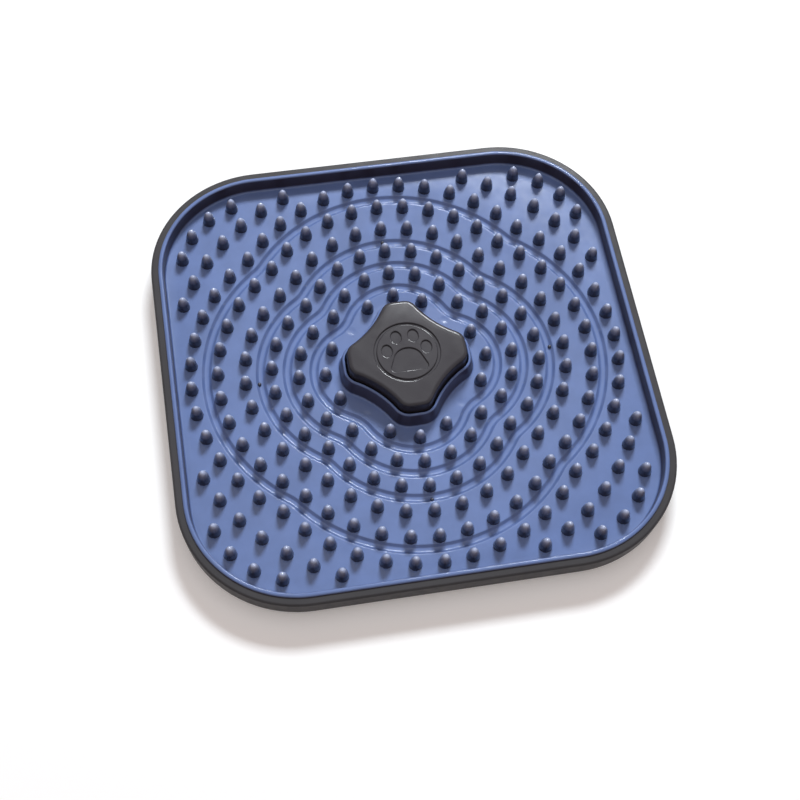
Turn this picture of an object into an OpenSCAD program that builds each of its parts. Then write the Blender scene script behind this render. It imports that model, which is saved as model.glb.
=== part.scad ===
// A square lick mat for a pet. A blue moulded mat with rings of blunt nibs and four lobed
// channels sits in a grey tray. A grey four-lobed knob stands through a collar in its middle.
// Origin: middle of the surface that the feet stand on. +Z up, sides along X and Y.

/* [Tray] */
// Width of the tray across its rim
side_w = 200; // [180:1:240]
// Radius of the tray's corners in plan
corner_r = 48; // [42:1:56]
// Height of the tray from the skirt's lower edge to the rim's top
tray_h = 12.45; // [11.5:0.05:15]
// Thickness of the rim at its top
rim_t = 3; // [2.5:0.1:4]
// Rounding of the rim's outer top edge
rim_round = 1; // [0.4:0.1:1.4]
// Rounding of the tray's lower outer edge
heel_round = 4.8; // [3:0.1:5.2]
// Lean of the tray's side wall
wall_lean = 4; // [1:0.5:6]
// Thickness of the tray's floor
tray_floor_t = 1.5; // [1.2:0.1:2]
// Height of the dished middle of the tray's underside over the skirt's lower edge
underside_lift = 0.2; // [0.1:0.05:0.5]
// Thickness of the ribs and the skirt under the tray
rib_t = 2; // [1.4:0.1:2.6]
// Distance from rib to rib along a side
rib_pitch = 40; // [25:1:44]

/* [Mat] */
// Gap between the mat's wall and the tray's rim
seat_gap = 0.3; // [0.2:0.05:0.5]
// Gap under the mat's dished middle
dish_gap = 0.25; // [0.15:0.05:0.5]
// Thickness of the mat's floor
mat_floor_t = 1.8; // [1.5:0.1:2.2]
// Thickness of the mat's wall at its lip
lip_t = 1.75; // [1.4:0.05:2.2]
// Height of the lip over the tray's rim
lip_proud = 1.5; // [1:0.1:2.5]
// Depth of the mat below the rim at the outer rings
mat_sunk = 5.9; // [5:0.1:7]
// Fall of the mat's floor from the outer rings to the knob
dish_depth = 2.8; // [1.5:0.1:3.2]
// Fillet between the mat's wall and its floor
foot_fillet = 1.5; // [0.8:0.1:2]

/* [Nibs and channels] */
// Diameter of a nib at its base
nib_d = 5.5; // [4.5:0.1:6]
// Height of a nib
nib_h = 7; // [5.5:0.1:8]
// Diameter of a nib where its blunt tip starts
nib_tip_d = 2.8; // [2:0.1:3.4]
// Distance from ring to ring
ring_pitch = 11; // [10:0.1:13]
// Distance of the lobes' centres from the middle
lobe_shift = 16; // [12:0.5:18]
// Radius of the channels' inward bends between the lobes
waist_r = 15; // [10:0.5:20]
// Free floor between the collar's foot and the first ring
first_gap = 1.6; // [0.8:0.1:2.5]
// Width of a channel
channel_w = 3.6; // [2.6:0.1:4]
// Depth of a channel
channel_depth = 1; // [0.5:0.1:1.2]
// Diameter of the round marks on the diagonals beside the knob
dimple_d = 3.6; // [2.5:0.1:4.2]
// Depth of these marks
dimple_depth = 0.4; // [0.2:0.05:0.6]

/* [Collar] */
// Gap between the knob's foot and the collar
collar_gap = 0.4; // [0.3:0.05:0.7]
// Thickness of the collar at its top
collar_t = 1.2; // [1:0.1:1.8]
// Height of the collar over the dished floor
collar_h = 7.1; // [5.5:0.1:8]
// Fillet at the collar's foot
collar_fillet = 1.6; // [1:0.1:2.2]

/* [Knob] */
// Distance from the middle to the end of a lobe
key_reach = 25; // [22:0.2:27]
// Distance from the middle to the hollow between two lobes
key_waist = 19.5; // [18:0.1:21]
// Radius of the hollow side between two lobes
flank_r = 41; // [32:1:60]
// Radius of a lobe's corners
tip_r = 5.8; // [4.8:0.1:7]
// Height of the knob's top over the collar
knob_proud = 5.6; // [4:0.1:8]
// Wall of the knob
knob_wall = 2.2; // [1.8:0.1:2.6]
// Thickness of the knob's top
knob_top_t = 2.6; // [2.2:0.1:3.2]
// Rounding of the knob's top edge
knob_round = 1.8; // [1:0.1:2]
// Diameter of the ring cut into the knob's top
badge_d = 27.2; // [22:0.2:28]
// Depth of the ring and the paw
badge_depth = 0.6; // [0.3:0.1:0.8]
// Gap between the knob's wall and the tray's locating wall
spigot_gap = 0.3; // [0.2:0.05:0.5]
// Thickness of the tray's locating wall
spigot_t = 1.6; // [1.2:0.1:2]
// Height of the locating wall over the tray's dished floor
spigot_h = 6; // [4:0.5:8]

/* [Feet] */
// Diameter of a rubber foot
foot_d = 14; // [10:0.5:16]
// Distance of a foot's middle from the tray's side
foot_inset = 32; // [28:1:36]
// How far a foot stands out below the skirt
foot_proud = 0.8; // [0.5:0.1:1.5]
// Depth of a foot inside its pocket
foot_seat = 1.4; // [1:0.1:1.6]
// Rounding of a foot's tread
foot_round = 0.5; // [0.2:0.1:0.8]
// Gap round a foot in its pocket
foot_gap = 0.2; // [0.1:0.05:0.4]

/* [Hidden] */
$fn = 96;

// How far a cut runs past the face it opens, and a joined piece into its neighbour
overrun = 0.5;
// Draft of the mat's wall, of the collar and of the knob, in degrees
mat_draft = 1.5;
collar_draft = 12;
knob_draft = 1.5;
// Rounding of the lip's edges and of the collar's top
lip_round = 0.5;
// Depth of a nib's root inside the floor
nib_root = 0.8;
// Width of the ring cut into the knob's top
badge_line = 0.8;
// Width of a foot's pocket wall
pocket_t = 1.8;
// Width of the flat band that the mat's wall and the tray's wall bring to their floors
band_w = 6;
// Floor that stays free between an outer nib and the wall's foot
edge_gap = 0.6;
// Extra radius of the tray's dish over the mat's
dish_margin = 3;
// Distance of a channel's middle from the ring inside it, and the flat at its bottom
channel_offset = 4.7;
channel_flat = 1.2;
// Distance from the last whole ring to the ring in the corners, along the side's direction
corner_ring_step = 8.1;
// Distance of the last row of corner nibs from the mat's outline
corner_row_inset = 8.7;
// Distance from nib to nib in the corners
corner_pitch = 11.6;
// How far a rib runs inwards from the skirt
rib_run = 12;

// Straight steps in an arc: a corner and a hollow side of the knob, a lobe and a bend of a channel,
// and a fillet
tip_steps = 5;
flank_steps = 8;
lobe_steps = 16;
bend_steps = 5;
fillet_steps = 4;

// Shares of a nib's height and base radius where its flank bends
nib_bend_share = 0.5;
nib_waist_share = 0.8;
// Share of a nib's tip radius that its bevel takes
tip_bevel_share = 0.55;
// Share of an even run along the ring in the nibs' angles
even_share = 0.6;
// Distance of the four round marks as a share of the first ring
dimple_share = 0.84;
// Nibs in a quarter of the first ring, as shares of a quarter turn
first_ring_shares = [-0.24, 0, 0.24];
// Nibs that each ring gains on the one inside it, and those the ring in the place of the first would have
ring_gain = 6;
ring_start = 18;
// Rings whose outer side has a channel, counted from the middle
channel_rings = [0, 1, 2, 4];
// The paw: toe centres and pad corners as shares of the ring's radius, on the right half
toe_shares = [[0.26, 0.53], [0.6, 0.1]];
toe_r_share = 0.16;
toe_long_share = 0.12;
pad_top_share = [0, -0.06];
pad_top_r_share = 0.2;
pad_side_share = [0.4, -0.5];
pad_side_r_share = 0.17;

// Levels over the surface that the feet stand on
skirt_z = foot_proud;
rim_z = skirt_z + tray_h;
lip_z = rim_z + lip_proud;
outer_floor_z = rim_z - mat_sunk;
inner_floor_z = outer_floor_z - dish_depth;
ledge_z = outer_floor_z - mat_floor_t;
well_z = inner_floor_z - mat_floor_t - dish_gap;
under_z = ledge_z - tray_floor_t;
collar_z = inner_floor_z + collar_h;
knob_z = collar_z + knob_proud;
foot_top_z = foot_proud + foot_seat;

// Outlines in plan
half_w = side_w / 2;
mat_half = half_w - rim_t - seat_gap;
mat_corner_r = corner_r - rim_t - seat_gap;
mat_in_half = mat_half - lip_t - (lip_z - outer_floor_z) * tan(mat_draft);
foot_x = half_w - foot_inset;

// The tray wall's lean over its height, and the depth of the skirt's inner face from the rim's edge
tray_lean = (tray_h - rim_round - heel_round) * tan(wall_lean);
skirt_in = tray_lean + heel_round + rib_t;

// The collar's slope and foot, measured outwards from the knob's outline
collar_rise = collar_z - inner_floor_z - collar_fillet;
collar_slope = collar_rise * tan(collar_draft);
collar_foot = collar_gap + collar_t + collar_slope + collar_fillet;

// Rings of nibs: their radius towards the sides, and how many whole rings fit
first_ring_r = key_reach + collar_foot + first_gap + nib_d / 2;
nib_clear = nib_d / 2 + foot_fillet + edge_gap;
whole_rings = 1 + floor((mat_in_half - nib_clear - first_ring_r) / ring_pitch);
last_ring_r = first_ring_r + (whole_rings - 1) * ring_pitch;
dish_in_r = first_ring_r - nib_d / 2;
dish_out_r = last_ring_r;
corner_ring_r = last_ring_r + corner_ring_step;
corner_row_r = mat_corner_r - corner_row_inset;
corner_c = mat_half - mat_corner_r;

function ring_r(k) = first_ring_r + k * ring_pitch;

// Height of the mat's floor at a distance from the middle
function floor_z(r) =
    r <= dish_in_r ? inner_floor_z :
    r >= dish_out_r ? outer_floor_z :
    inner_floor_z + dish_depth * (r - dish_in_r) / (dish_out_r - dish_in_r);

// Lobed outline: radius of its lobes, and its bend between the lobes on the diagonal
function lobe_r(side) = side - lobe_shift;
function bend_c(side) =
    (lobe_shift + sqrt(2 * pow(lobe_r(side) + waist_r, 2) - pow(lobe_shift, 2))) / 2;
function bend_angle(side) = atan2(bend_c(side), bend_c(side) - lobe_shift);

// Distance of a ring's nib from the middle: nibs stand on the lobes alone, without their bends
function nib_r(side, a) =
    let (m = (a + 45) % 90 - 45)
    lobe_shift * cos(m) + sqrt(pow(lobe_r(side), 2) - pow(lobe_shift * sin(m), 2));

// Angle of a nib that is due at an even one: wider steps where the ring comes nearer the middle
function nib_angle(side, a) =
    let (near = bend_c(side) * sqrt(2) - waist_r)
    a - even_share * (side - near) / (side + near) * 45 / PI * sin(4 * a);

function ring_nibs(k) =
    let (side = ring_r(k), n = ring_start + ring_gain * k,
         angles = k == 0 ? [for (q = [0:3], s = first_ring_shares) 90 * (q + s)]
                         : [for (i = [0:n - 1]) nib_angle(side, 360 * i / n)])
    [for (a = angles) let (r = nib_r(side, a + 360)) [-r * sin(a), r * cos(a)]];

// Distance of a point from the inner foot of the mat's wall
function wall_distance(p) =
    let (c = corner_c, r = mat_in_half - corner_c, x = abs(p.x) - c, y = abs(p.y) - c)
    x > 0 && y > 0 ? r - norm([x, y]) : r - max(x, y);

function corner_nibs() =
    [for (q = [0:3], i = [-5:5])
        let (a = 90 * q + 45 + i * corner_pitch / corner_ring_r * 180 / PI,
             p = corner_ring_r * [cos(a), sin(a)])
        if (wall_distance(p) > nib_clear) p];

function corner_row() =
    [for (q = [0:3], i = [-1.5:1.5])
        let (a = 45 + i * corner_pitch / corner_row_r * 180 / PI,
             p = [corner_c + corner_row_r * cos(a), corner_c + corner_row_r * sin(a)])
        [p.x * cos(90 * q) - p.y * sin(90 * q), p.x * sin(90 * q) + p.y * cos(90 * q)]];

nib_places = concat([for (k = [0:whole_rings - 1]) each ring_nibs(k)], corner_nibs(), corner_row());

// Outlines made of arcs: each point comes with its outward direction. A hollow arc turns inwards,
// and leaves out its ends, where the arcs beside it have theirs.
function arc(c, r, from, to, steps) =
    [for (i = [0:steps]) let (a = from + (to - from) * i / steps, d = [cos(a), sin(a)]) [c + r * d, d]];
function hollow(c, r, from, to, steps) =
    [for (i = [1:steps - 1]) let (a = from + (to - from) * i / steps, d = [cos(a), sin(a)]) [c + r * d, -d]];
function turned(q, path) =
    let (c = cos(90 * q), s = sin(90 * q))
    [for (p = path) [for (v = p) [v.x * c - v.y * s, v.x * s + v.y * c]]];
function grown(path, o) = [for (p = path) p[0] + o * p[1]];

// The knob's outline at its foot: two corners and a hollow side in each quarter
key_m = (key_waist + flank_r) / sqrt(2);
key_y = key_reach - tip_r;
key_x = key_m - sqrt(pow(flank_r + tip_r, 2) - pow(key_m - key_y, 2));
key_angle = atan2(key_m - key_y, key_m - key_x);
key_path = [for (q = [0:3]) each turned(q, concat(
    arc([key_y, key_x], tip_r, 0, 90 - key_angle, tip_steps),
    hollow([key_m, key_m], flank_r, 270 - key_angle, 180 + key_angle, flank_steps),
    arc([key_x, key_y], tip_r, key_angle, 90, tip_steps)))];

// A lobed ring: one lobe and one bend in each quarter
function ring_path(side) =
    let (b = bend_angle(side), d = bend_c(side))
    [for (q = [0:3]) each turned(q, concat(
        arc([lobe_shift, 0], lobe_r(side), -b, b, lobe_steps),
        hollow([d, d], waist_r, 180 + b, 270 - b, bend_steps)))];

module key_outline(o) polygon(grown(key_path, o));

// Closed tube along a closed outline. The section's x runs outwards from the outline, and
// its y is a height over the level that belongs to each point of the outline.
module swept(path, levels, section) {
    n = len(path);
    m = len(section);
    polyhedron(
        points = [for (i = [0:n - 1], s = section)
            [path[i][0].x + s.x * path[i][1].x, path[i][0].y + s.x * path[i][1].y, levels[i] + s.y]],
        faces = [for (i = [0:n - 1], j = [0:m - 1])
            let (near = i * m, far = (i + 1) % n * m, k = (j + 1) % m)
            each [[near + j, near + k, far + k], [near + j, far + k, far + j]]]);
}

// Solid drawn through a run of layers and closed over its first and its last: each layer is the
// outline, moved outwards by an offset, at a height
module lofted(path, layers) {
    n = len(path);
    m = len(layers);
    polyhedron(
        points = [for (l = layers, p = path) [p[0].x + l.x * p[1].x, p[0].y + l.x * p[1].y, l.y]],
        faces = concat(
            [[for (i = [0:n - 1]) i]],
            [[for (i = [n - 1:-1:0]) (m - 1) * n + i]],
            [for (j = [0:m - 2], i = [0:n - 1])
                let (a = j * n + i, b = j * n + (i + 1) % n, c = b + n, d = a + n)
                each [[a, c, b], [a, d, c]]]));
}

// Sweeps a section round a rounded square. The section's x runs outwards from the outline.
module along_square(half, r) {
    for (q = [0:3]) rotate(90 * q) {
        translate([r - half, half, 0]) rotate([90, 0, 90]) linear_extrude(2 * (half - r)) children();
        translate([half - r, half - r, 0]) rotate_extrude(angle = 90) translate([r, 0]) children();
    }
}

module rounded_square(half, r) {
    square(2 * [half, half - r], center = true);
    square(2 * [half - r, half], center = true);
    for (x = [-1, 1], y = [-1, 1]) translate((half - r) * [x, y]) circle(r);
}

// Floor plate of one thickness: flat outside, falling to the middle inside the rings
module dished_floor(half, r, top_z, depth, t, in_r, out_r) {
    translate([0, 0, top_z - t]) linear_extrude(t) difference() {
        rounded_square(half, r);
        circle(out_r + overrun);
    }
    rotate_extrude() polygon([
        [0, top_z - depth - t], [in_r, top_z - depth - t], [out_r, top_z - t],
        [out_r + 2 * overrun, top_z - t], [out_r + 2 * overrun, top_z], [out_r, top_z],
        [in_r, top_z - depth], [0, top_z - depth]]);
}

// Side wall, rim and skirt of the tray, with x from its outer face. The wall runs a little way into
// the round of the heel.
module tray_wall_section() {
    into_heel = heel_round * tan(wall_lean);
    polygon([[-rim_t, under_z], [-rim_t, rim_z], [-rim_round, rim_z], [0, rim_z - rim_round],
             [-tray_lean - into_heel * tan(wall_lean), skirt_z + heel_round - into_heel],
             [-tray_lean - heel_round, skirt_z], [-skirt_in, skirt_z], [-skirt_in, under_z + overrun]]);
    translate([-rim_round, rim_z - rim_round]) circle(rim_round, $fn = 48);
    translate([-tray_lean - heel_round, skirt_z + heel_round]) intersection() {
        circle(heel_round);
        polygon([[-rim_round, -heel_round], [heel_round, -heel_round], [heel_round, overrun],
                 [heel_round - rim_round, overrun]]);
    }
    translate([-rim_t - band_w, under_z]) square([band_w + overrun, tray_floor_t]);
}

module spigot_ring() {
    difference() {
        key_outline(-knob_wall - spigot_gap);
        key_outline(-knob_wall - spigot_gap - spigot_t);
    }
}

module base_tray() color("#5b5c61") {
    difference() {
        union() {
            along_square(half_w, corner_r) tray_wall_section();
            dished_floor(half_w - band_w, corner_r - band_w, ledge_z, ledge_z - well_z,
                         tray_floor_t, dish_in_r, dish_out_r + dish_margin);
            translate([0, 0, well_z - overrun]) linear_extrude(spigot_h + overrun) spigot_ring();
            for (x = [-1, 1], y = [-1, 1]) translate([foot_x * x, foot_x * y, foot_top_z - foot_seat])
                cylinder(d = foot_d + 2 * (foot_gap + pocket_t),
                         h = under_z + overrun - foot_top_z + foot_seat);
        }
        for (x = [-1, 1], y = [-1, 1])
            translate([foot_x * x, foot_x * y, skirt_z - overrun])
                cylinder(d = foot_d + 2 * foot_gap, h = foot_seat + overrun);
    }
    for (q = [0:3], i = [-1:1]) rotate(90 * q)
        translate([half_w - skirt_in - rib_run, i * rib_pitch - rib_t / 2, skirt_z + underside_lift])
            cube([rib_run + overrun, rib_t, under_z - skirt_z - underside_lift + overrun]);
}

// Wall of the mat with its lip, its foot fillet and a band of floor, with x from its outer face
module mat_wall_section() {
    inner_x = -(mat_half - mat_in_half);
    difference() {
        union() {
            polygon([[0, ledge_z], [0, lip_z - lip_round], [-lip_round, lip_z], [lip_round - lip_t, lip_z],
                     [-lip_t, lip_z - lip_round], [inner_x, outer_floor_z], [inner_x, ledge_z]]);
            for (x = [-lip_round, lip_round - lip_t])
                translate([x, lip_z - lip_round]) circle(lip_round, $fn = 32);
            translate([inner_x - band_w, ledge_z]) square([band_w + overrun, mat_floor_t]);
            translate([inner_x - foot_fillet, outer_floor_z]) square([foot_fillet + lip_round, foot_fillet]);
        }
        translate([inner_x - foot_fillet, outer_floor_z + foot_fillet]) circle(foot_fillet, $fn = 48);
    }
}

// Quarter round in a section, as points from one angle to another
function round_points(c, r, from, to) =
    [for (i = [0:fillet_steps]) let (a = from + (to - from) * i / fillet_steps) c + r * [cos(a), sin(a)]];

// Collar round the knob, with x from the knob's outline and y from the dished floor
function collar_section() =
    let (top = collar_gap + collar_t, foot = top + collar_slope)
    concat([[collar_gap, -nib_root], [collar_foot, -nib_root]],
           round_points([collar_foot, collar_fillet], collar_fillet, 270, 180 + collar_draft),
           [[top, collar_h - lip_round], [top - lip_round, collar_h], [collar_gap, collar_h]]);

// Channel cut into the floor, with x from its middle line and y from the floor
function channel_section() =
    let (flat = channel_flat / 2, side = channel_w / 2 - flat,
         top = flat + side * (channel_depth + overrun) / channel_depth)
    [[-flat, -channel_depth], [flat, -channel_depth], [top, overrun], [-top, overrun]];

module nib() {
    tip_r = nib_tip_d / 2;
    base_r = nib_d / 2;
    bend_z = nib_h * nib_bend_share;
    root_r = base_r * (1 + (1 - nib_waist_share) * nib_root / bend_z);
    tip_bevel = tip_r * tip_bevel_share;
    rotate_extrude($fn = 32)
        polygon([[0, -nib_root], [root_r, -nib_root], [base_r * nib_waist_share, bend_z],
                 [tip_r, nib_h - tip_bevel], [tip_r - tip_bevel, nib_h], [0, nib_h]]);
}

// Shallow round mark on a diagonal beside the knob
module dimple() {
    r = (pow(dimple_d / 2, 2) + pow(dimple_depth, 2)) / (2 * dimple_depth);
    translate([0, 0, r - dimple_depth]) rotate_extrude() intersection() {
        circle(r);
        translate([0, -r]) square([r, dimple_depth + overrun]);
    }
}

module lick_mat() color("#7a8fc4") {
    difference() {
        union() {
            along_square(mat_half, mat_corner_r) mat_wall_section();
            dished_floor(mat_half - lip_t, mat_corner_r - lip_t, outer_floor_z, dish_depth, mat_floor_t,
                         dish_in_r, dish_out_r);
        }
        translate([0, 0, inner_floor_z - mat_floor_t - overrun])
            linear_extrude(mat_floor_t + 2 * overrun) key_outline(collar_gap);
        for (k = channel_rings) if (k < whole_rings - 1) let (path = ring_path(ring_r(k) + channel_offset))
            swept(path, [for (p = path) floor_z(norm(p[0]))], channel_section());
        for (a = [45:90:315]) rotate(a) translate([first_ring_r * dimple_share, 0, inner_floor_z]) dimple();
    }
    swept(key_path, [for (p = key_path) inner_floor_z], collar_section());
    for (p = nib_places) translate([p.x, p.y, floor_z(norm(p))]) nib();
}

// Toes and pad of a plain paw print, in a ring of radius r
module paw(r) {
    for (s = [-1, 1], t = toe_shares) translate([s * t.x * r, t.y * r]) {
        for (y = [-1, 1]) translate([0, y * toe_long_share * r / 2]) circle(toe_r_share * r);
        square([2 * toe_r_share, toe_long_share] * r, center = true);
    }
    translate(pad_top_share * r) circle(pad_top_r_share * r);
    for (s = [-1, 1]) translate([s * pad_side_share.x, pad_side_share.y] * r) circle(pad_side_r_share * r);
    polygon(r * [[-pad_side_share.x, pad_side_share.y - pad_side_r_share],
                 [pad_side_share.x, pad_side_share.y - pad_side_r_share],
                 [pad_side_share.x + pad_side_r_share, pad_side_share.y],
                 [pad_top_r_share, pad_top_share.y],
                 [-pad_top_r_share, pad_top_share.y],
                 [-pad_side_share.x - pad_side_r_share, pad_side_share.y]]);
}

// The knob's hollow, its foot, its side and its rounded top edge, as outward offsets and heights
knob_lean = (knob_z - well_z - knob_round) * tan(knob_draft);
knob_layers = concat(
    [[-knob_wall, knob_z - knob_top_t], [-knob_wall, well_z], [0, well_z]],
    round_points([-knob_lean - knob_round, knob_z - knob_round], knob_round, 0, 90));

module centre_knob() color("#54535a") difference() {
    lofted(key_path, knob_layers);
    translate([0, 0, knob_z - badge_depth]) linear_extrude(badge_depth + overrun) {
        difference() {
            circle(badge_d / 2);
            circle(badge_d / 2 - badge_line);
        }
        paw(badge_d / 2);
    }
}

module rubber_foot(x, y) color("#303034") translate([foot_x * x, foot_x * y, 0]) {
    translate([0, 0, foot_round]) cylinder(d = foot_d, h = foot_top_z - foot_round);
    cylinder(d1 = foot_d - 2 * foot_round, d2 = foot_d, h = foot_round);
}

module foot_front_left() rubber_foot(-1, -1);
module foot_front_right() rubber_foot(1, -1);
module foot_rear_left() rubber_foot(-1, 1);
module foot_rear_right() rubber_foot(1, 1);

base_tray();
lick_mat();
centre_knob();
foot_front_left();
foot_front_right();
foot_rear_left();
foot_rear_right();
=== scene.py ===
"""A square lick mat: a blue moulded mat with rings of blunt nibs, seated in a grey tray, with a
grey four-lobed knob through its middle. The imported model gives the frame, and this file gives
the looks. Sizes are in millimetres unless a comment says otherwise."""

import math

import bmesh
import bpy
from mathutils import Matrix, Vector


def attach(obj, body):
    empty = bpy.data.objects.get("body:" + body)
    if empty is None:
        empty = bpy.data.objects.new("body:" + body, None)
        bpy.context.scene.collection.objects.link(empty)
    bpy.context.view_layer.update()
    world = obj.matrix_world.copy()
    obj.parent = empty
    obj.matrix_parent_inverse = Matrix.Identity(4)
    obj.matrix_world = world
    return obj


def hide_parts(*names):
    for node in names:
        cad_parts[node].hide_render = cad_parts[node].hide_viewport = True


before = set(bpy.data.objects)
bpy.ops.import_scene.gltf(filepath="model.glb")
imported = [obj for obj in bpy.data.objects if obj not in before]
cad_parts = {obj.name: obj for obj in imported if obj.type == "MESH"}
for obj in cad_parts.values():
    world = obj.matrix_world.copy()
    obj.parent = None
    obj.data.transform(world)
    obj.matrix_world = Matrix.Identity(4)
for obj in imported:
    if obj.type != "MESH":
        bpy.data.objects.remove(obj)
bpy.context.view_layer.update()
mm = 0.001

# The picture
# The camera stands where the photograph was taken, in front of the mat, a little to its left and
# high over it.
film_w, lens = 36, 63.531
off_middle = 0.000625
nearest_seen = 10 * mm
eye = Vector((-67.96, -272.86, 520.8)) * mm
downwards = Vector((-0.13125269, -0.88069594, -0.45513448))
forwards = Vector((0.10855709, 0.44357683, -0.88963754))
right_hand = downwards.cross(forwards)

photo_camera = bpy.data.objects.new("photo_camera", bpy.data.cameras.new("photo_camera"))
photo_camera.data.sensor_width = film_w
photo_camera.data.lens = lens
photo_camera.data.shift_x = -off_middle
photo_camera.data.shift_y = off_middle
photo_camera.data.clip_start = nearest_seen
aim = Matrix((right_hand, -downwards, -forwards)).transposed().to_4x4()
photo_camera.matrix_world = Matrix.Translation(eye) @ aim
bpy.context.scene.collection.objects.link(photo_camera)
bpy.context.scene.camera = photo_camera
bpy.context.scene.view_settings.view_transform = "Standard"

# The table
# A plain pale table top lies under the tray's feet. It is brighter to the eye than it lights the
# tray. Its half width is in metres.
table_half = 3.0
table_white = (0.82, 0.86, 0.88)
table_rough, table_shine, table_glow = 0.9, 0.1, 0.22


def eye_ray(tree):
    """One where a ray comes from the camera or by a mirror or a clear body, else nought."""
    path = tree.nodes.new("ShaderNodeLightPath")
    shown = path.outputs["Is Camera Ray"]
    for kind in ("Is Transmission Ray", "Is Glossy Ray"):
        either = tree.nodes.new("ShaderNodeMath")
        either.operation = "MAXIMUM"
        tree.links.new(shown, either.inputs[0])
        tree.links.new(path.outputs[kind], either.inputs[1])
        shown = either.outputs[0]
    return shown


bm = bmesh.new()
bmesh.ops.create_grid(bm, x_segments=1, y_segments=1, size=table_half)
table_mesh = bpy.data.meshes.new("table_top")
bm.to_mesh(table_mesh)
bm.free()
table_top = bpy.data.objects.new("table_top", table_mesh)
bpy.context.scene.collection.objects.link(table_top)
pale_paint = bpy.data.materials.new("pale_paint")
pale_paint.use_nodes = True
paint = pale_paint.node_tree.nodes["Principled BSDF"].inputs
paint["Base Color"].default_value = (*table_white, 1)
paint["Roughness"].default_value = table_rough
paint["Specular IOR Level"].default_value = table_shine
paint["Emission Color"].default_value = (1, 1, 1, 1)
lift = pale_paint.node_tree.nodes.new("ShaderNodeMath")
lift.operation = "MULTIPLY"
lift.inputs[1].default_value = table_glow
pale_paint.node_tree.links.new(eye_ray(pale_paint.node_tree), lift.inputs[0])
pale_paint.node_tree.links.new(lift.outputs[0], paint["Emission Strength"])
table_mesh.materials.append(pale_paint)

# The light
# A window stands behind the mat, a little to its right, and a broad soft lamp hangs overhead.
# The room round them is warm and dim, and looks white. Places and widths are in metres.
daylight = (0.93, 0.97, 1)
room_warm, room_power = (1, 0.65, 0.52), 0.29
room_white = 0.95


def window(name, place, width, height, power):
    lamp = bpy.data.lights.new(name, "AREA")
    lamp.shape = "RECTANGLE"
    lamp.size = width
    lamp.size_y = height
    lamp.energy = power
    lamp.color = daylight
    holder = bpy.data.objects.new(name, lamp)
    holder.location = place
    holder.rotation_euler = (-Vector(place)).to_track_quat("-Z", "Y").to_euler()
    bpy.context.scene.collection.objects.link(holder)


window("rear_window", place=(0.46, 1.34, 1.42), width=0.6, height=0.34, power=39)
window("overhead", place=(-0.1, -0.1, 1.8), width=1.5, height=1.5, power=7)

room = bpy.data.worlds.new("room")
room.use_nodes = True
room_tree = room.node_tree
lit = room_tree.nodes["Background"]
lit.inputs["Color"].default_value = (*room_warm, 1)
lit.inputs["Strength"].default_value = room_power
seen = room_tree.nodes.new("ShaderNodeBackground")
seen.inputs["Color"].default_value = (room_white, room_white, room_white, 1)
choose = room_tree.nodes.new("ShaderNodeMixShader")
room_tree.links.new(eye_ray(room_tree), choose.inputs["Fac"])
room_tree.links.new(lit.outputs[0], choose.inputs[1])
room_tree.links.new(seen.outputs[0], choose.inputs[2])
room_tree.links.new(choose.outputs[0], room_tree.nodes["World Output"].inputs["Surface"])
bpy.context.scene.world = room

# The tray
# The grey tray is one moulding of satin plastic with a fine spark-eroded grain. Its rim holds the
# mat's wall, and its shape comes straight from the solid.
tray_grey = (0.04, 0.04, 0.045)


def new_finish(name, colour, roughness):
    finish = bpy.data.materials.new(name)
    finish.use_nodes = True
    shader = finish.node_tree.nodes["Principled BSDF"]
    shader.inputs["Base Color"].default_value = (*colour, 1)
    shader.inputs["Roughness"].default_value = roughness
    return finish, finish.node_tree, shader


def object_place(tree):
    """The place of each point on the object, in metres."""
    return tree.nodes.new("ShaderNodeTexCoord").outputs["Object"]


def noise(tree, place, size, detail=3.0):
    """A noise whose blotches are about size across, in metres."""
    node = tree.nodes.new("ShaderNodeTexNoise")
    node.inputs["Scale"].default_value = 1 / size
    node.inputs["Detail"].default_value = detail
    tree.links.new(place, node.inputs["Vector"])
    return node.outputs["Fac"]


def spread(tree, value, low, high, from_low=0.3, from_high=0.7):
    """Maps a value from its own range to low..high. A noise mostly lies between 0.3 and 0.7."""
    node = tree.nodes.new("ShaderNodeMapRange")
    node.inputs["From Min"].default_value = from_low
    node.inputs["From Max"].default_value = from_high
    node.inputs["To Min"].default_value = low
    node.inputs["To Max"].default_value = high
    tree.links.new(value, node.inputs["Value"])
    return node.outputs["Result"]


def two_colours(tree, share, dark, light):
    node = tree.nodes.new("ShaderNodeMix")
    node.data_type = "RGBA"
    node.inputs["A"].default_value = (*dark, 1)
    node.inputs["B"].default_value = (*light, 1)
    tree.links.new(share, node.inputs["Factor"])
    return node.outputs["Result"]


def grain(tree, shader, place, size, height):
    """Fine moulded grain as a bump, over any coarser one: its size and height in metres."""
    bump = tree.nodes.new("ShaderNodeBump")
    bump.inputs["Distance"].default_value = height
    tree.links.new(noise(tree, place, size, detail=4.0), bump.inputs["Height"])
    for coarser in shader.inputs["Normal"].links:
        tree.links.new(coarser.from_socket, bump.inputs["Normal"])
    tree.links.new(bump.outputs["Normal"], shader.inputs["Normal"])


def shade(colour, by):
    return tuple(c * by for c in colour)


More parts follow.
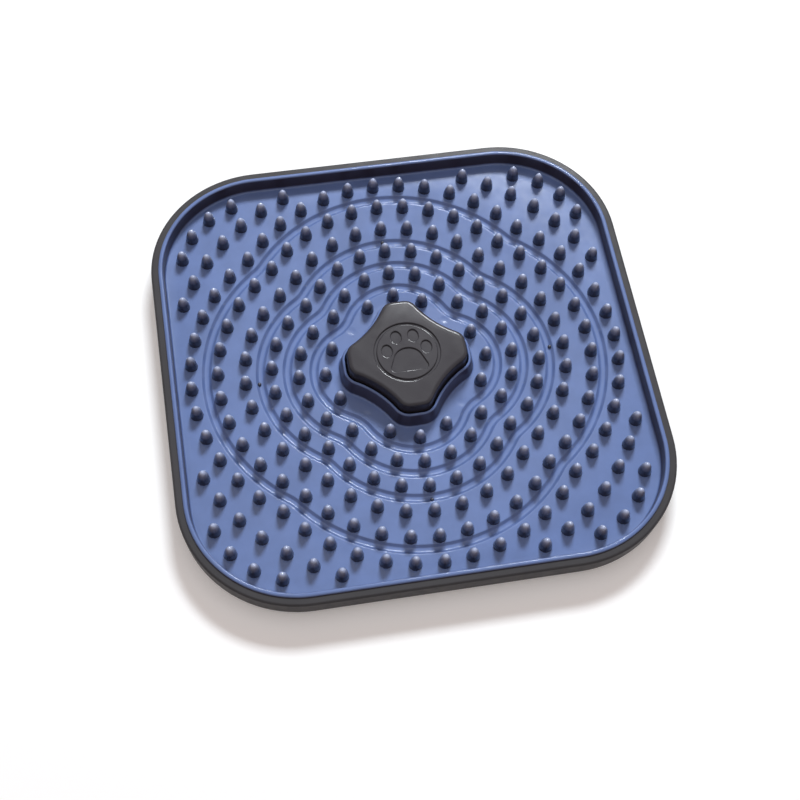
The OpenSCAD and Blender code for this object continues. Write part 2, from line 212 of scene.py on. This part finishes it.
def moulded_plastic(name, colour, coat, grain_size, grain_height):
    """Satin grey plastic: soft cloudiness, a roughness that wanders, and an eroded grain."""
    satin, wander, wander_size = 0.5, 0.06, 5 * mm
    shine, coat_rough = 0.14, 0.14
    cloud_dark, cloud_light, cloud_size = 0.92, 1.1, 22 * mm
    finish, tree, shader = new_finish(name, colour, satin)
    shader.inputs["Specular IOR Level"].default_value = shine
    shader.inputs["Coat Weight"].default_value = coat
    shader.inputs["Coat Roughness"].default_value = coat_rough
    place = object_place(tree)
    cloud = spread(tree, noise(tree, place, cloud_size), 0, 1)
    clouded = two_colours(tree, cloud, shade(colour, cloud_dark), shade(colour, cloud_light))
    tree.links.new(clouded, shader.inputs["Base Color"])
    rough = spread(tree, noise(tree, place, wander_size), satin - wander, satin + wander)
    tree.links.new(rough, shader.inputs["Roughness"])
    grain(tree, shader, place, grain_size, grain_height)
    return finish


tray_plastic = moulded_plastic("tray_plastic", tray_grey, coat=0.08, grain_size=0.5 * mm,
                               grain_height=0.02 * mm)
base_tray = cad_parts["base_tray"]
base_tray.data.materials.clear()
base_tray.data.materials.append(tray_plastic)

# The feet
# The four feet are round pads moulded in black rubber. Each is pressed into a pocket under a
# corner of the tray, and a little dust has greyed it.
foot_black, foot_rough = (0.035, 0.035, 0.04), 0.8
foot_clean, foot_dusty = (0.03, 0.03, 0.034), (0.06, 0.058, 0.055)
dust_size, dust_starts, dust_full = 3 * mm, 0.45, 0.75

foot_rubber, foot_tree, foot_shader = new_finish("foot_rubber", foot_black, foot_rough)
foot_place = object_place(foot_tree)
foot_dust = spread(foot_tree, noise(foot_tree, foot_place, dust_size), 0, 1, dust_starts, dust_full)
foot_tree.links.new(two_colours(foot_tree, foot_dust, foot_clean, foot_dusty),
                    foot_shader.inputs["Base Color"])
grain(foot_tree, foot_shader, foot_place, size=0.35 * mm, height=0.03 * mm)
for corner in ("front_left", "front_right", "rear_left", "rear_right"):
    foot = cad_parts["foot_" + corner].data
    foot.materials.clear()
    foot.materials.append(foot_rubber)

# The mat
# One moulding of soft blue rubber: a lip wall inside the tray's rim, a floor that falls to the
# middle, four lobed channels, and a collar that stands round the knob. It is pressed into the
# tray and lifts out to be washed.
around = 384
mat_half, mat_corner = 96.7, 44.7
rim_z = 13.25

# The floor falls from dish_out to dish_in, and the underside follows it.
dish_out, dish_in = 88.72, 30.97
floor_out_z, floor_in_z = 7.35, 4.55
under_out_z, under_in_z = 5.55, 2.75
under_chamfer = 0.3

# The lip's top edge slopes outwards. Below it the wall swells to close the gap to the rim.
lip_z, lip_t, edge_round = 14.1, 1.75, 0.8
slope_in, slope_w, slope_h = 0.75, 1.0, 0.75
swell, swell_top, swell_foot = 0.24, 0.2, 1.0
wall_foot, foot_fillet = 94.76, 1.0
wall_inset = mat_half - wall_foot

# The knob's four-lobed outline, and the collar that follows it with a lean in degrees. The
# collar's bore is straight up to bore_edge under its top, a hair past the start of its rounding.
key_reach, key_waist, flank_r, tip_r = 25.0, 19.5, 41.0, 5.8
collar_gap, collar_t, collar_h, collar_fillet = 0.4, 1.2, 7.1, 0.7
bore_round, bore_edge = 0.3, 0.25
collar_lean = 9
collar_slope = (collar_h - collar_fillet) * math.tan(math.radians(collar_lean))
collar_z = floor_in_z + collar_h
collar_out = collar_gap + collar_t
collar_foot = collar_out + collar_slope + collar_fillet

# The rings of nibs have lobes, and four of them have a channel on their outer side. The shares
# run from the channel's edge to its bottom, across its half width and down its depth.
lobe_shift, waist_r = 16.0, 15.0
first_ring, ring_pitch = 33.72, 11.0
channel_rings, channel_offset = (0, 1, 2, 4), 4.7
channel_half, channel_deep = 2.5, 1.0
channel_side_shares = ((1, 0), (0.86, 0), (0.8, 0.04), (0.728, 0.15), (0.42, 0.82), (0.32, 0.95),
                       (0.18, 1))
channel_side = [(x * channel_half, deep * channel_deep) for x, deep in channel_side_shares]
channel_lines = [(-x, deep) for x, deep in channel_side] + channel_side[::-1]
near_steps, far_steps = 12, 5

# A shallow round mark lies on each diagonal, at dimple_at from both middle lines.
dimple_at, dimple_r, dimple_deep = 19.93, 1.9, 0.14


def off_diagonal(angle):
    """The angle from the nearest side's middle, 0 to 45 degrees."""
    turn = angle % (math.pi / 2)
    return min(turn, math.pi / 2 - turn)


def square_edge(angle, half, corner):
    """Distance from the middle to a rounded square."""
    a = off_diagonal(angle)
    c = half - corner
    if half * math.tan(a) <= c:
        return half / math.cos(a)
    along = c * (math.cos(a) + math.sin(a))
    return along + math.sqrt(max(along * along - 2 * c * c + corner * corner, 0))


def lobed_edge(angle, side, grow=0.0):
    """Distance from the middle to a lobed ring that reaches to side, grown outwards."""
    a = off_diagonal(angle)
    lobe = side - lobe_shift
    bend = (lobe_shift + math.sqrt(2 * (lobe + waist_r) ** 2 - lobe_shift ** 2)) / 2
    turn = math.atan2(bend, bend - lobe_shift)
    lobe += grow
    if a <= math.atan2(lobe * math.sin(turn), lobe_shift + lobe * math.cos(turn)):
        across = lobe_shift * math.sin(a)
        return lobe_shift * math.cos(a) + math.sqrt(lobe ** 2 - across ** 2)
    b = math.pi / 4 - a
    far = bend * math.sqrt(2)
    return far * math.cos(b) - math.sqrt((waist_r - grow) ** 2 - (far * math.sin(b)) ** 2)


def key_edge(angle, grow):
    """Distance from the middle to the knob's four-lobed outline, grown outwards."""
    a = off_diagonal(angle)
    middle = (key_waist + flank_r) / math.sqrt(2)
    tip_x = key_reach - tip_r
    tip_y = middle - math.sqrt((flank_r + tip_r) ** 2 - (middle - tip_x) ** 2)
    turn = math.atan2(middle - tip_x, middle - tip_y)
    if math.tan(a) <= tip_y / (key_reach + grow):
        return (key_reach + grow) / math.cos(a)
    corner = Vector((tip_x, tip_y))
    meet = corner + (tip_r + grow) * Vector((math.sin(turn), math.cos(turn)))
    if a <= math.atan2(meet.y, meet.x):
        along = corner.x * math.cos(a) + corner.y * math.sin(a)
        return along + math.sqrt(along ** 2 - corner.length_squared + (tip_r + grow) ** 2)
    b = math.pi / 4 - a
    far = middle * math.sqrt(2)
    return far * math.cos(b) - math.sqrt((flank_r - grow) ** 2 - (far * math.sin(b)) ** 2)


def floor_z(r):
    share = min(max((r - dish_in) / (dish_out - dish_in), 0), 1)
    return floor_in_z + (floor_out_z - floor_in_z) * share


def floor_height(deep=0.0):
    """The floor's height, less a channel's depth and the round marks on the diagonals."""
    def height(r, a):
        x, y = abs(r * math.cos(a)), abs(r * math.sin(a))
        away = math.hypot(x - dimple_at, y - dimple_at) / dimple_r
        mark = dimple_deep * max(1 - away * away, 0)
        return floor_z(r) - deep - mark
    return height


def level(z):
    return lambda r, a: z


def key_loop(grow, z):
    """The knob's outline, grown outwards, at one height."""
    return (lambda a: key_edge(a, grow)), level(z)


def lobed_outline(side, grow):
    return lambda a: lobed_edge(a, side, grow)


def square_outline(inset):
    """An outline inside the mat's outer edge by inset."""
    return lambda a: square_edge(a, mat_half - inset, mat_corner - inset)


def square_loop(inset, z):
    return square_outline(inset), level(z)


def round_loop(r, z):
    return (lambda a: r), level(z)


def between(low, high, share):
    return lambda a: low(a) * (1 - share) + high(a) * share


def arc(start, end, steps):
    """Cosine and sine over an arc, from start to end in degrees."""
    for i in range(steps + 1):
        a = math.radians(start + (end - start) * i / steps)
        yield math.cos(a), math.sin(a)


def settle(verts, edge, height):
    """Moves each vertex along its own direction to an outline, and to that place's height."""
    for v in verts:
        angle = math.atan2(v.co.y, v.co.x)
        r = edge(angle)
        v.co = Vector((r * math.cos(angle), r * math.sin(angle), height(r, angle))) * mm


def open_ring(made):
    """The edges at the free end of an extrusion."""
    return [e for e in made if isinstance(e, bmesh.types.BMEdge) and len(e.link_faces) == 1]


def draw_out(bm, ring, edge, height):
    """Extrudes a ring of edges once and moves it to the next outline."""
    made = bmesh.ops.extrude_edge_only(bm, edges=ring)["geom"]
    settle([v for v in made if isinstance(v, bmesh.types.BMVert)], edge, height)
    return open_ring(made)


def ring_skin(loops):
    """A skin through outlines that follow each other round a section, and its two end rings."""
    bm = bmesh.new()
    bmesh.ops.create_circle(bm, segments=around, radius=1)
    settle(bm.verts, *loops[0])
    first = ring = list(bm.edges)
    for loop in loops[1:]:
        ring = draw_out(bm, ring, *loop)
    return bm, first, ring


# The collar: up its bore, over its top and down to the floor.
loops = [key_loop(collar_gap, under_in_z), key_loop(collar_gap, collar_z - bore_edge)]
for c, s in arc(180, 90, steps=3):
    loops.append(key_loop(collar_gap + bore_round * (1 + c), collar_z - bore_round * (1 - s)))
for c, s in arc(90, collar_lean, steps=4):
    loops.append(key_loop(collar_out - edge_round * (1 - c), collar_z - edge_round * (1 - s)))
for c, s in arc(180 + collar_lean, 270, steps=6):
    loops.append(key_loop(collar_foot + collar_fillet * c, floor_in_z + collar_fillet * (1 + s)))

# The floor: out through the channels to the fillet at the wall's foot.
last_edge = loops[-1][0]
for k in channel_rings:
    side = first_ring + k * ring_pitch + channel_offset
    steps = near_steps if k == 0 else far_steps
    for i in range(1, steps):
        step_edge = between(last_edge, lobed_outline(side, -channel_half), i / steps)
        loops.append((step_edge, floor_height()))
    for grow, deep in channel_lines:
        loops.append((lobed_outline(side, grow), floor_height(deep)))
    last_edge = loops[-1][0]
fillet_edge = square_outline(wall_inset + foot_fillet)
for i in range(1, far_steps):
    loops.append((between(last_edge, fillet_edge, i / far_steps), floor_height()))

# The wall: up its inner side, over the lip, down the outer side and back under the floor.
for c, s in arc(270, 360, steps=5):
    loops.append(square_loop(wall_inset + foot_fillet * (1 - c), floor_out_z + foot_fillet * (1 + s)))
for c, s in arc(180, 90, steps=6):
    loops.append(square_loop(lip_t - edge_round * (1 + c), lip_z - edge_round * (1 - s)))
for c, s in arc(90, 0, steps=6):
    loops.append(square_loop(slope_in - slope_w * c, lip_z - slope_h * (1 - s)))
loops.append(square_loop(-swell, rim_z - swell_top))
loops.append(square_loop(0, rim_z - swell_foot))
loops.append(square_loop(0, under_out_z + under_chamfer))
loops.append(square_loop(under_chamfer, under_out_z))
loops.append(round_loop(dish_out, under_out_z))
loops.append(round_loop(dish_in, under_in_z))

bm, first, last = ring_skin(loops)
bmesh.ops.bridge_loops(bm, edges=first + last)
bmesh.ops.recalc_face_normals(bm, faces=bm.faces)
bm.normal_update()
# Each vertex's share of light is how far it faces up, so the steep walls, channel slopes and collar
# sides get a painted shade.
painted_light_share = bm.verts.layers.float.new("painted_light_share")
for v in bm.verts:
    v[painted_light_share] = v.normal.z


def finished(bm, name, body, finish, crease=35):
    """Makes a piece of a finished shape: smooth, with the edges above crease degrees kept."""
    for f in bm.faces:
        f.smooth = True
    for e in bm.edges:
        if len(e.link_faces) == 2 and e.calc_face_angle(0) > math.radians(crease):
            e.smooth = False
    mesh = bpy.data.meshes.new(name)
    bm.to_mesh(mesh)
    bm.free()
    mesh.materials.append(finish)
    piece = bpy.data.objects.new(name, mesh)
    bpy.context.scene.collection.objects.link(piece)
    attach(piece, body)
    return piece


def mat_rubber_finish(name, rough, coat, coat_rough, side, top, low, high):
    """Soft blue rubber, satin and faintly mottled, with light and shade painted in by a share on each
    vertex: below low it takes the side colour, a painted shade, and above high the top colour,
    which on the nibs is a painted highlight."""
    shine = 0.18
    mottle_dark, mottle_light, mottle_size = 0.9, 1.08, 14 * mm
    less_rough, more_rough, patch_size = 0.05, 0.06, 4 * mm
    finish, tree, shader = new_finish(name, top, rough)
    shader.inputs["Specular IOR Level"].default_value = shine
    shader.inputs["Coat Weight"].default_value = coat
    shader.inputs["Coat Roughness"].default_value = coat_rough
    place = object_place(tree)
    painted_light_attribute = tree.nodes.new("ShaderNodeAttribute")
    painted_light_attribute.attribute_name = "painted_light_share"
    colour = two_colours(tree, spread(tree, painted_light_attribute.outputs["Fac"], 0, 1, low, high), side, top)
    mottle = spread(tree, noise(tree, place, mottle_size), mottle_dark, mottle_light)
    mottled = tree.nodes.new("ShaderNodeMix")
    mottled.data_type = "RGBA"
    mottled.blend_type = "MULTIPLY"
    mottled.inputs["Factor"].default_value = 1
    tree.links.new(colour, mottled.inputs["A"])
    tree.links.new(mottle, mottled.inputs["B"])
    tree.links.new(mottled.outputs["Result"], shader.inputs["Base Color"])
    patches = spread(tree, noise(tree, place, patch_size), rough - less_rough, rough + more_rough)
    tree.links.new(patches, shader.inputs["Roughness"])
    grain(tree, shader, place, size=9 * mm, height=0.06 * mm)
    grain(tree, shader, place, size=0.6 * mm, height=0.012 * mm)
    return finish


# The mat's blue on faces that point up, and a dark painted shade for its steep faces.
mat_blue, painted_shade_blue = (0.112, 0.182, 0.41), (0.04, 0.037, 0.06)
mat_rubber = mat_rubber_finish("mat_rubber", rough=0.4, coat=0.36, coat_rough=0.1,
                               side=painted_shade_blue, top=mat_blue, low=0.15, high=0.96)
mat_body = finished(bm, "mat_body", "mat", mat_rubber)
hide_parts("lick_mat")

# The nibs
# 236 blunt nibs are moulded with the mat, of the same rubber: six lobed rings of them, and two
# short rows in each corner. Each one is a little dome on a tapering stem. Their colour is painted
# light: a dark shade low on the stem, rising to a highlight at the tip.
nib_h, nib_half = 7.0, 2.75
nib_profile = [(2.8, -0.35), (2.62, 1.2), (2.12, 3.8), (1.5, 5.6), (0.85, 6.68), (0, nib_h)]
ring_count, ring_start, ring_gain = 6, 18, 6

# The first ring has three nibs to a side, set out by shares of a quarter turn. In the others
# even_share is how far the nibs are evened out where the ring comes nearer the middle.
first_ring_shares = (-0.24, 0, 0.24)
even_share = 0.6

# The inner row of a corner follows a wide ring, up to corner_reach places to each side, as far
# as its nibs clear the wall's fillet. The outer row has four nibs and follows the corner itself.
corner_at = mat_half - mat_corner
corner_ring, corner_pitch, corner_reach = 96.8, 11.6, 5
fillet_room, edge_gap = 1.5, 0.6
nib_clear = nib_half + fillet_room + edge_gap
outer_row, outer_row_in = (-1.5, -0.5, 0.5, 1.5), 8.7


def nib_angle(side, a):
    """An even angle, moved where the ring comes nearer the middle."""
    near = lobed_edge(math.pi / 4, side)
    return a - even_share * (side - near) / (side + near) / 4 * math.sin(4 * a)


def nib_distance(side, a):
    """Distance from the middle to the lobes on which a ring's nibs stand."""
    m = off_diagonal(a)
    across = lobe_shift * math.sin(m)
    return lobe_shift * math.cos(m) + math.sqrt((side - lobe_shift) ** 2 - across ** 2)


def room_to_wall(x, y):
    """How far a place in a corner is from the foot of the wall."""
    in_x, in_y = abs(x) - corner_at, abs(y) - corner_at
    out = math.hypot(in_x, in_y) if min(in_x, in_y) > 0 else max(in_x, in_y)
    return wall_foot - corner_at - out


nib_places = []
for k in range(ring_count):
    side = first_ring + k * ring_pitch
    count = ring_start + ring_gain * k
    if k == 0:
        angles = [(q + s) * math.pi / 2 for q in range(4) for s in first_ring_shares]
    else:
        angles = [nib_angle(side, 2 * math.pi * i / count) for i in range(count)]
    for a in angles:
        r = nib_distance(side, a)
        nib_places.append((-r * math.sin(a), r * math.cos(a)))
for q in range(4):
    turn = q * math.pi / 2
    for i in range(-corner_reach, corner_reach + 1):
        a = turn + math.pi / 4 + i * corner_pitch / corner_ring
        x, y = corner_ring * math.cos(a), corner_ring * math.sin(a)
        if room_to_wall(x, y) > nib_clear:
            nib_places.append((x, y))
    for i in outer_row:
        row_r = mat_corner - outer_row_in
        a = math.pi / 4 + i * corner_pitch / row_r
        x, y = corner_at + row_r * math.cos(a), corner_at + row_r * math.sin(a)
        nib_places.append((x * math.cos(turn) - y * math.sin(turn),
                           x * math.sin(turn) + y * math.cos(turn)))

bm = bmesh.new()
profile = [bm.verts.new((r * mm, 0, z * mm)) for r, z in nib_profile]
lines = [bm.edges.new(pair) for pair in zip(profile, profile[1:])]
bmesh.ops.spin(bm, geom=profile + lines, cent=(0, 0, 0), axis=(0, 0, 1), angle=math.tau, steps=12,
               use_merge=True)
bmesh.ops.remove_doubles(bm, verts=bm.verts, dist=0.01 * mm)
bmesh.ops.recalc_face_normals(bm, faces=bm.faces)
one_nib = bpy.data.meshes.new("one_nib")
bm.to_mesh(one_nib)
bm.free()
nib_points = len(one_nib.vertices)
bm = bmesh.new()
# Each nib's share of light is its height up the nib, from a painted shade at its foot to a painted
# highlight at its tip.
painted_light_share = bm.verts.layers.float.new("painted_light_share")
for x, y in nib_places:
    bm.from_mesh(one_nib)
    bm.verts.ensure_lookup_table()
    nib = bm.verts[-nib_points:]
    for v in nib:
        v[painted_light_share] = v.co.z / (nib_h * mm)
    bmesh.ops.translate(bm, verts=nib, vec=Vector((x, y, floor_z(math.hypot(x, y)))) * mm)
bpy.data.meshes.remove(one_nib)

# A small round gate mark stands in the third channel on each side, just proud of the floor.
# Its share of light stays at nought, so it takes the nibs' dark painted shade all over.
gate_at, gate_r, gate_proud = 61.2, 0.85, 0.1
gate_z = floor_z(gate_at) - gate_r + gate_proud
for q in range(4):
    turn = q * math.pi / 2
    place = Vector((gate_at * math.cos(turn), gate_at * math.sin(turn), gate_z)) * mm
    bmesh.ops.create_uvsphere(bm, u_segments=16, v_segments=10, radius=gate_r * mm,
                              matrix=Matrix.Translation(place))
# The nibs' tip colour is a painted highlight and their stem colour a painted shade.
nib_painted_highlight, nib_painted_shade = (0.36, 0.44, 0.66), (0.022, 0.026, 0.056)
nib_rubber = mat_rubber_finish("nib_rubber", rough=0.3, coat=1.0, coat_rough=0.15,
                               side=nib_painted_shade, top=nib_painted_highlight, low=0.48, high=1.0)
nibs = finished(bm, "nibs", "mat", nib_rubber, crease=60)
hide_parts("lick_mat")

# The knob
# A hollow grey knob with four blunt lobes, moulded in the tray's plastic. It stands round the
# tray's locating wall, and a ring and a plain paw are sunk into its top.
knob_z, knob_foot_z, knob_chamfer = 17.25, 2.5, 0.2
knob_wall, knob_top_t, knob_round = 2.2, 2.6, 1.8
knob_draft, knob_steps = 1.5, 5
knob_lean = (knob_z - knob_foot_z - knob_round) * math.tan(math.radians(knob_draft))
knob_side = knob_z - knob_foot_z - knob_round - knob_chamfer

loops = [key_loop(-knob_wall, knob_z - knob_top_t),
         key_loop(-knob_wall, knob_foot_z + knob_chamfer),
         key_loop(-knob_wall + knob_chamfer, knob_foot_z),
         key_loop(-knob_chamfer, knob_foot_z),
         key_loop(0, knob_foot_z + knob_chamfer)]
for i in range(1, knob_steps):
    share = i / knob_steps
    loops.append(key_loop(-knob_lean * share, knob_foot_z + knob_chamfer + knob_side * share))
for c, s in arc(0, 90, steps=7):
    loops.append(key_loop(-knob_lean - knob_round * (1 - c), knob_z - knob_round * (1 - s)))
bm, inner, outer = ring_skin(loops)
bmesh.ops.edgeloop_fill(bm, edges=inner)
bmesh.ops.edgeloop_fill(bm, edges=outer)
bmesh.ops.recalc_face_normals(bm, faces=bm.faces)

# The sunk marks are cut by shapes that widen at the surface, so each mark has a soft edge with a
# fine worn line round it. The paw's places and its toes' radius are shares of the ring's radius.
badge_r, badge_line, badge_deep = 13.6, 1.0, 0.65
edge_soft, worn_w, worn_h = 0.22, 0.16, 0.03
cut_above = 1.0
mark_floor = knob_z - badge_deep
toe_shares = ((0.26, 0.53), (-0.26, 0.53), (0.6, 0.1), (-0.6, 0.1))
toe_r_share, toe_stretch = 0.16, 1.36
pad_shares = ((0.64, -0.67), (0, -0.63), (-0.64, -0.67), (-0.3, 0.14), (0.3, 0.14))
pad_round = 3.6


def sink(corners):
    """Turns a flat ring of corners, drawn at the mark's floor, into a closed cutter."""
    outline = list(dict.fromkeys(e for v in corners for e in v.link_edges))
    ring = outline
    upright = badge_deep - edge_soft - worn_h
    for out, up in ((0, upright), (edge_soft, edge_soft), (worn_w, worn_h), (0, cut_above)):
        made = bmesh.ops.extrude_edge_only(marks, edges=ring)["geom"]
        moved = [v for v in made if isinstance(v, bmesh.types.BMVert)]
        ring = open_ring(made)
        middle = sum((v.co for v in moved), Vector()) / len(moved)
        for v in moved:
            side = (v.co - middle).normalized()
            v.co += Vector((side.x * out, side.y * out, up)) * mm
    bmesh.ops.edgeloop_fill(marks, edges=outline)
    bmesh.ops.edgeloop_fill(marks, edges=ring)


def on_badge(x, y):
    return Vector((x * badge_r, y * badge_r, mark_floor)) * mm


def into_object(bm, name):
    """Puts a shape in the scene as it is, for the cutting."""
    mesh = bpy.data.meshes.new(name)
    bm.to_mesh(mesh)
    bm.free()
    shape = bpy.data.objects.new(name, mesh)
    bpy.context.scene.collection.objects.link(shape)
    return shape


marks = bmesh.new()
for x, y in toe_shares:
    toe = bmesh.ops.create_circle(marks, segments=40, radius=toe_r_share * badge_r * mm)["verts"]
    bmesh.ops.scale(marks, verts=toe, vec=(1, toe_stretch, 1))
    bmesh.ops.translate(marks, verts=toe, vec=on_badge(x, y))
    sink(toe)
pad = [marks.verts.new(on_badge(x, y)) for x, y in pad_shares]
for i in range(len(pad)):
    marks.edges.new((pad[i], pad[i - 1]))
rounded = bmesh.ops.bevel(marks, geom=pad, offset=pad_round * mm, segments=9, profile=0.5,
                          affect="VERTICES", clamp_overlap=True, material=-1)
sink([v for v in rounded["verts"] if v.is_valid])
bmesh.ops.recalc_face_normals(marks, faces=marks.faces)
marks_tool = into_object(marks, "marks")

# The ring is a groove with the same soft edges, spun from its section.
half_line = badge_line / 2
soft_line = half_line + edge_soft
worn_line = soft_line + worn_w
outer_side = [(half_line, -badge_deep), (half_line, -edge_soft - worn_h), (soft_line, -worn_h),
              (worn_line, 0), (worn_line, cut_above)]
section = outer_side + [(-x, z) for x, z in outer_side[::-1]]
groove = bmesh.new()
corners = [groove.verts.new(Vector((badge_r - half_line + x, 0, knob_z + z)) * mm)
           for x, z in section]
sides = [groove.edges.new((corners[i - 1], corners[i])) for i in range(len(corners))]
bmesh.ops.spin(groove, geom=corners + sides, cent=(0, 0, 0), axis=(0, 0, 1), angle=math.tau,
               steps=160, use_merge=True)
bmesh.ops.remove_doubles(groove, verts=groove.verts, dist=0.001 * mm)
bmesh.ops.recalc_face_normals(groove, faces=groove.faces)
groove_tool = into_object(groove, "groove")

plain_knob = into_object(bm, "plain_knob")
for tool in (marks_tool, groove_tool):
    cut = plain_knob.modifiers.new(tool.name, "BOOLEAN")
    cut.operation = "DIFFERENCE"
    cut.solver = "EXACT"
    cut.object = tool
bpy.context.view_layer.update()
evaluated = plain_knob.evaluated_get(bpy.context.evaluated_depsgraph_get())
cut_mesh = bpy.data.meshes.new_from_object(evaluated)
bm = bmesh.new()
bm.from_mesh(cut_mesh)
bpy.data.meshes.remove(cut_mesh)
for scrap in (plain_knob, marks_tool, groove_tool):
    scrap_mesh = scrap.data
    bpy.data.objects.remove(scrap)
    bpy.data.meshes.remove(scrap_mesh)

# Every edge of the marks above mark_crease degrees stays crisp.
mark_crease, past_badge = 5, 1.0
for e in bm.edges:
    if len(e.link_faces) == 2 and e.calc_face_angle(0) > math.radians(mark_crease):
        if all(v.co.xy.length < (badge_r + past_badge) * mm for v in e.verts):
            e.smooth = False
knob_grey = (0.023, 0.021, 0.028)
knob_plastic = moulded_plastic("knob_plastic", knob_grey, coat=0.45, grain_size=0.45 * mm,
                               grain_height=0.03 * mm)
knob_body = finished(bm, "knob_body", "knob", knob_plastic)
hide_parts("centre_knob")
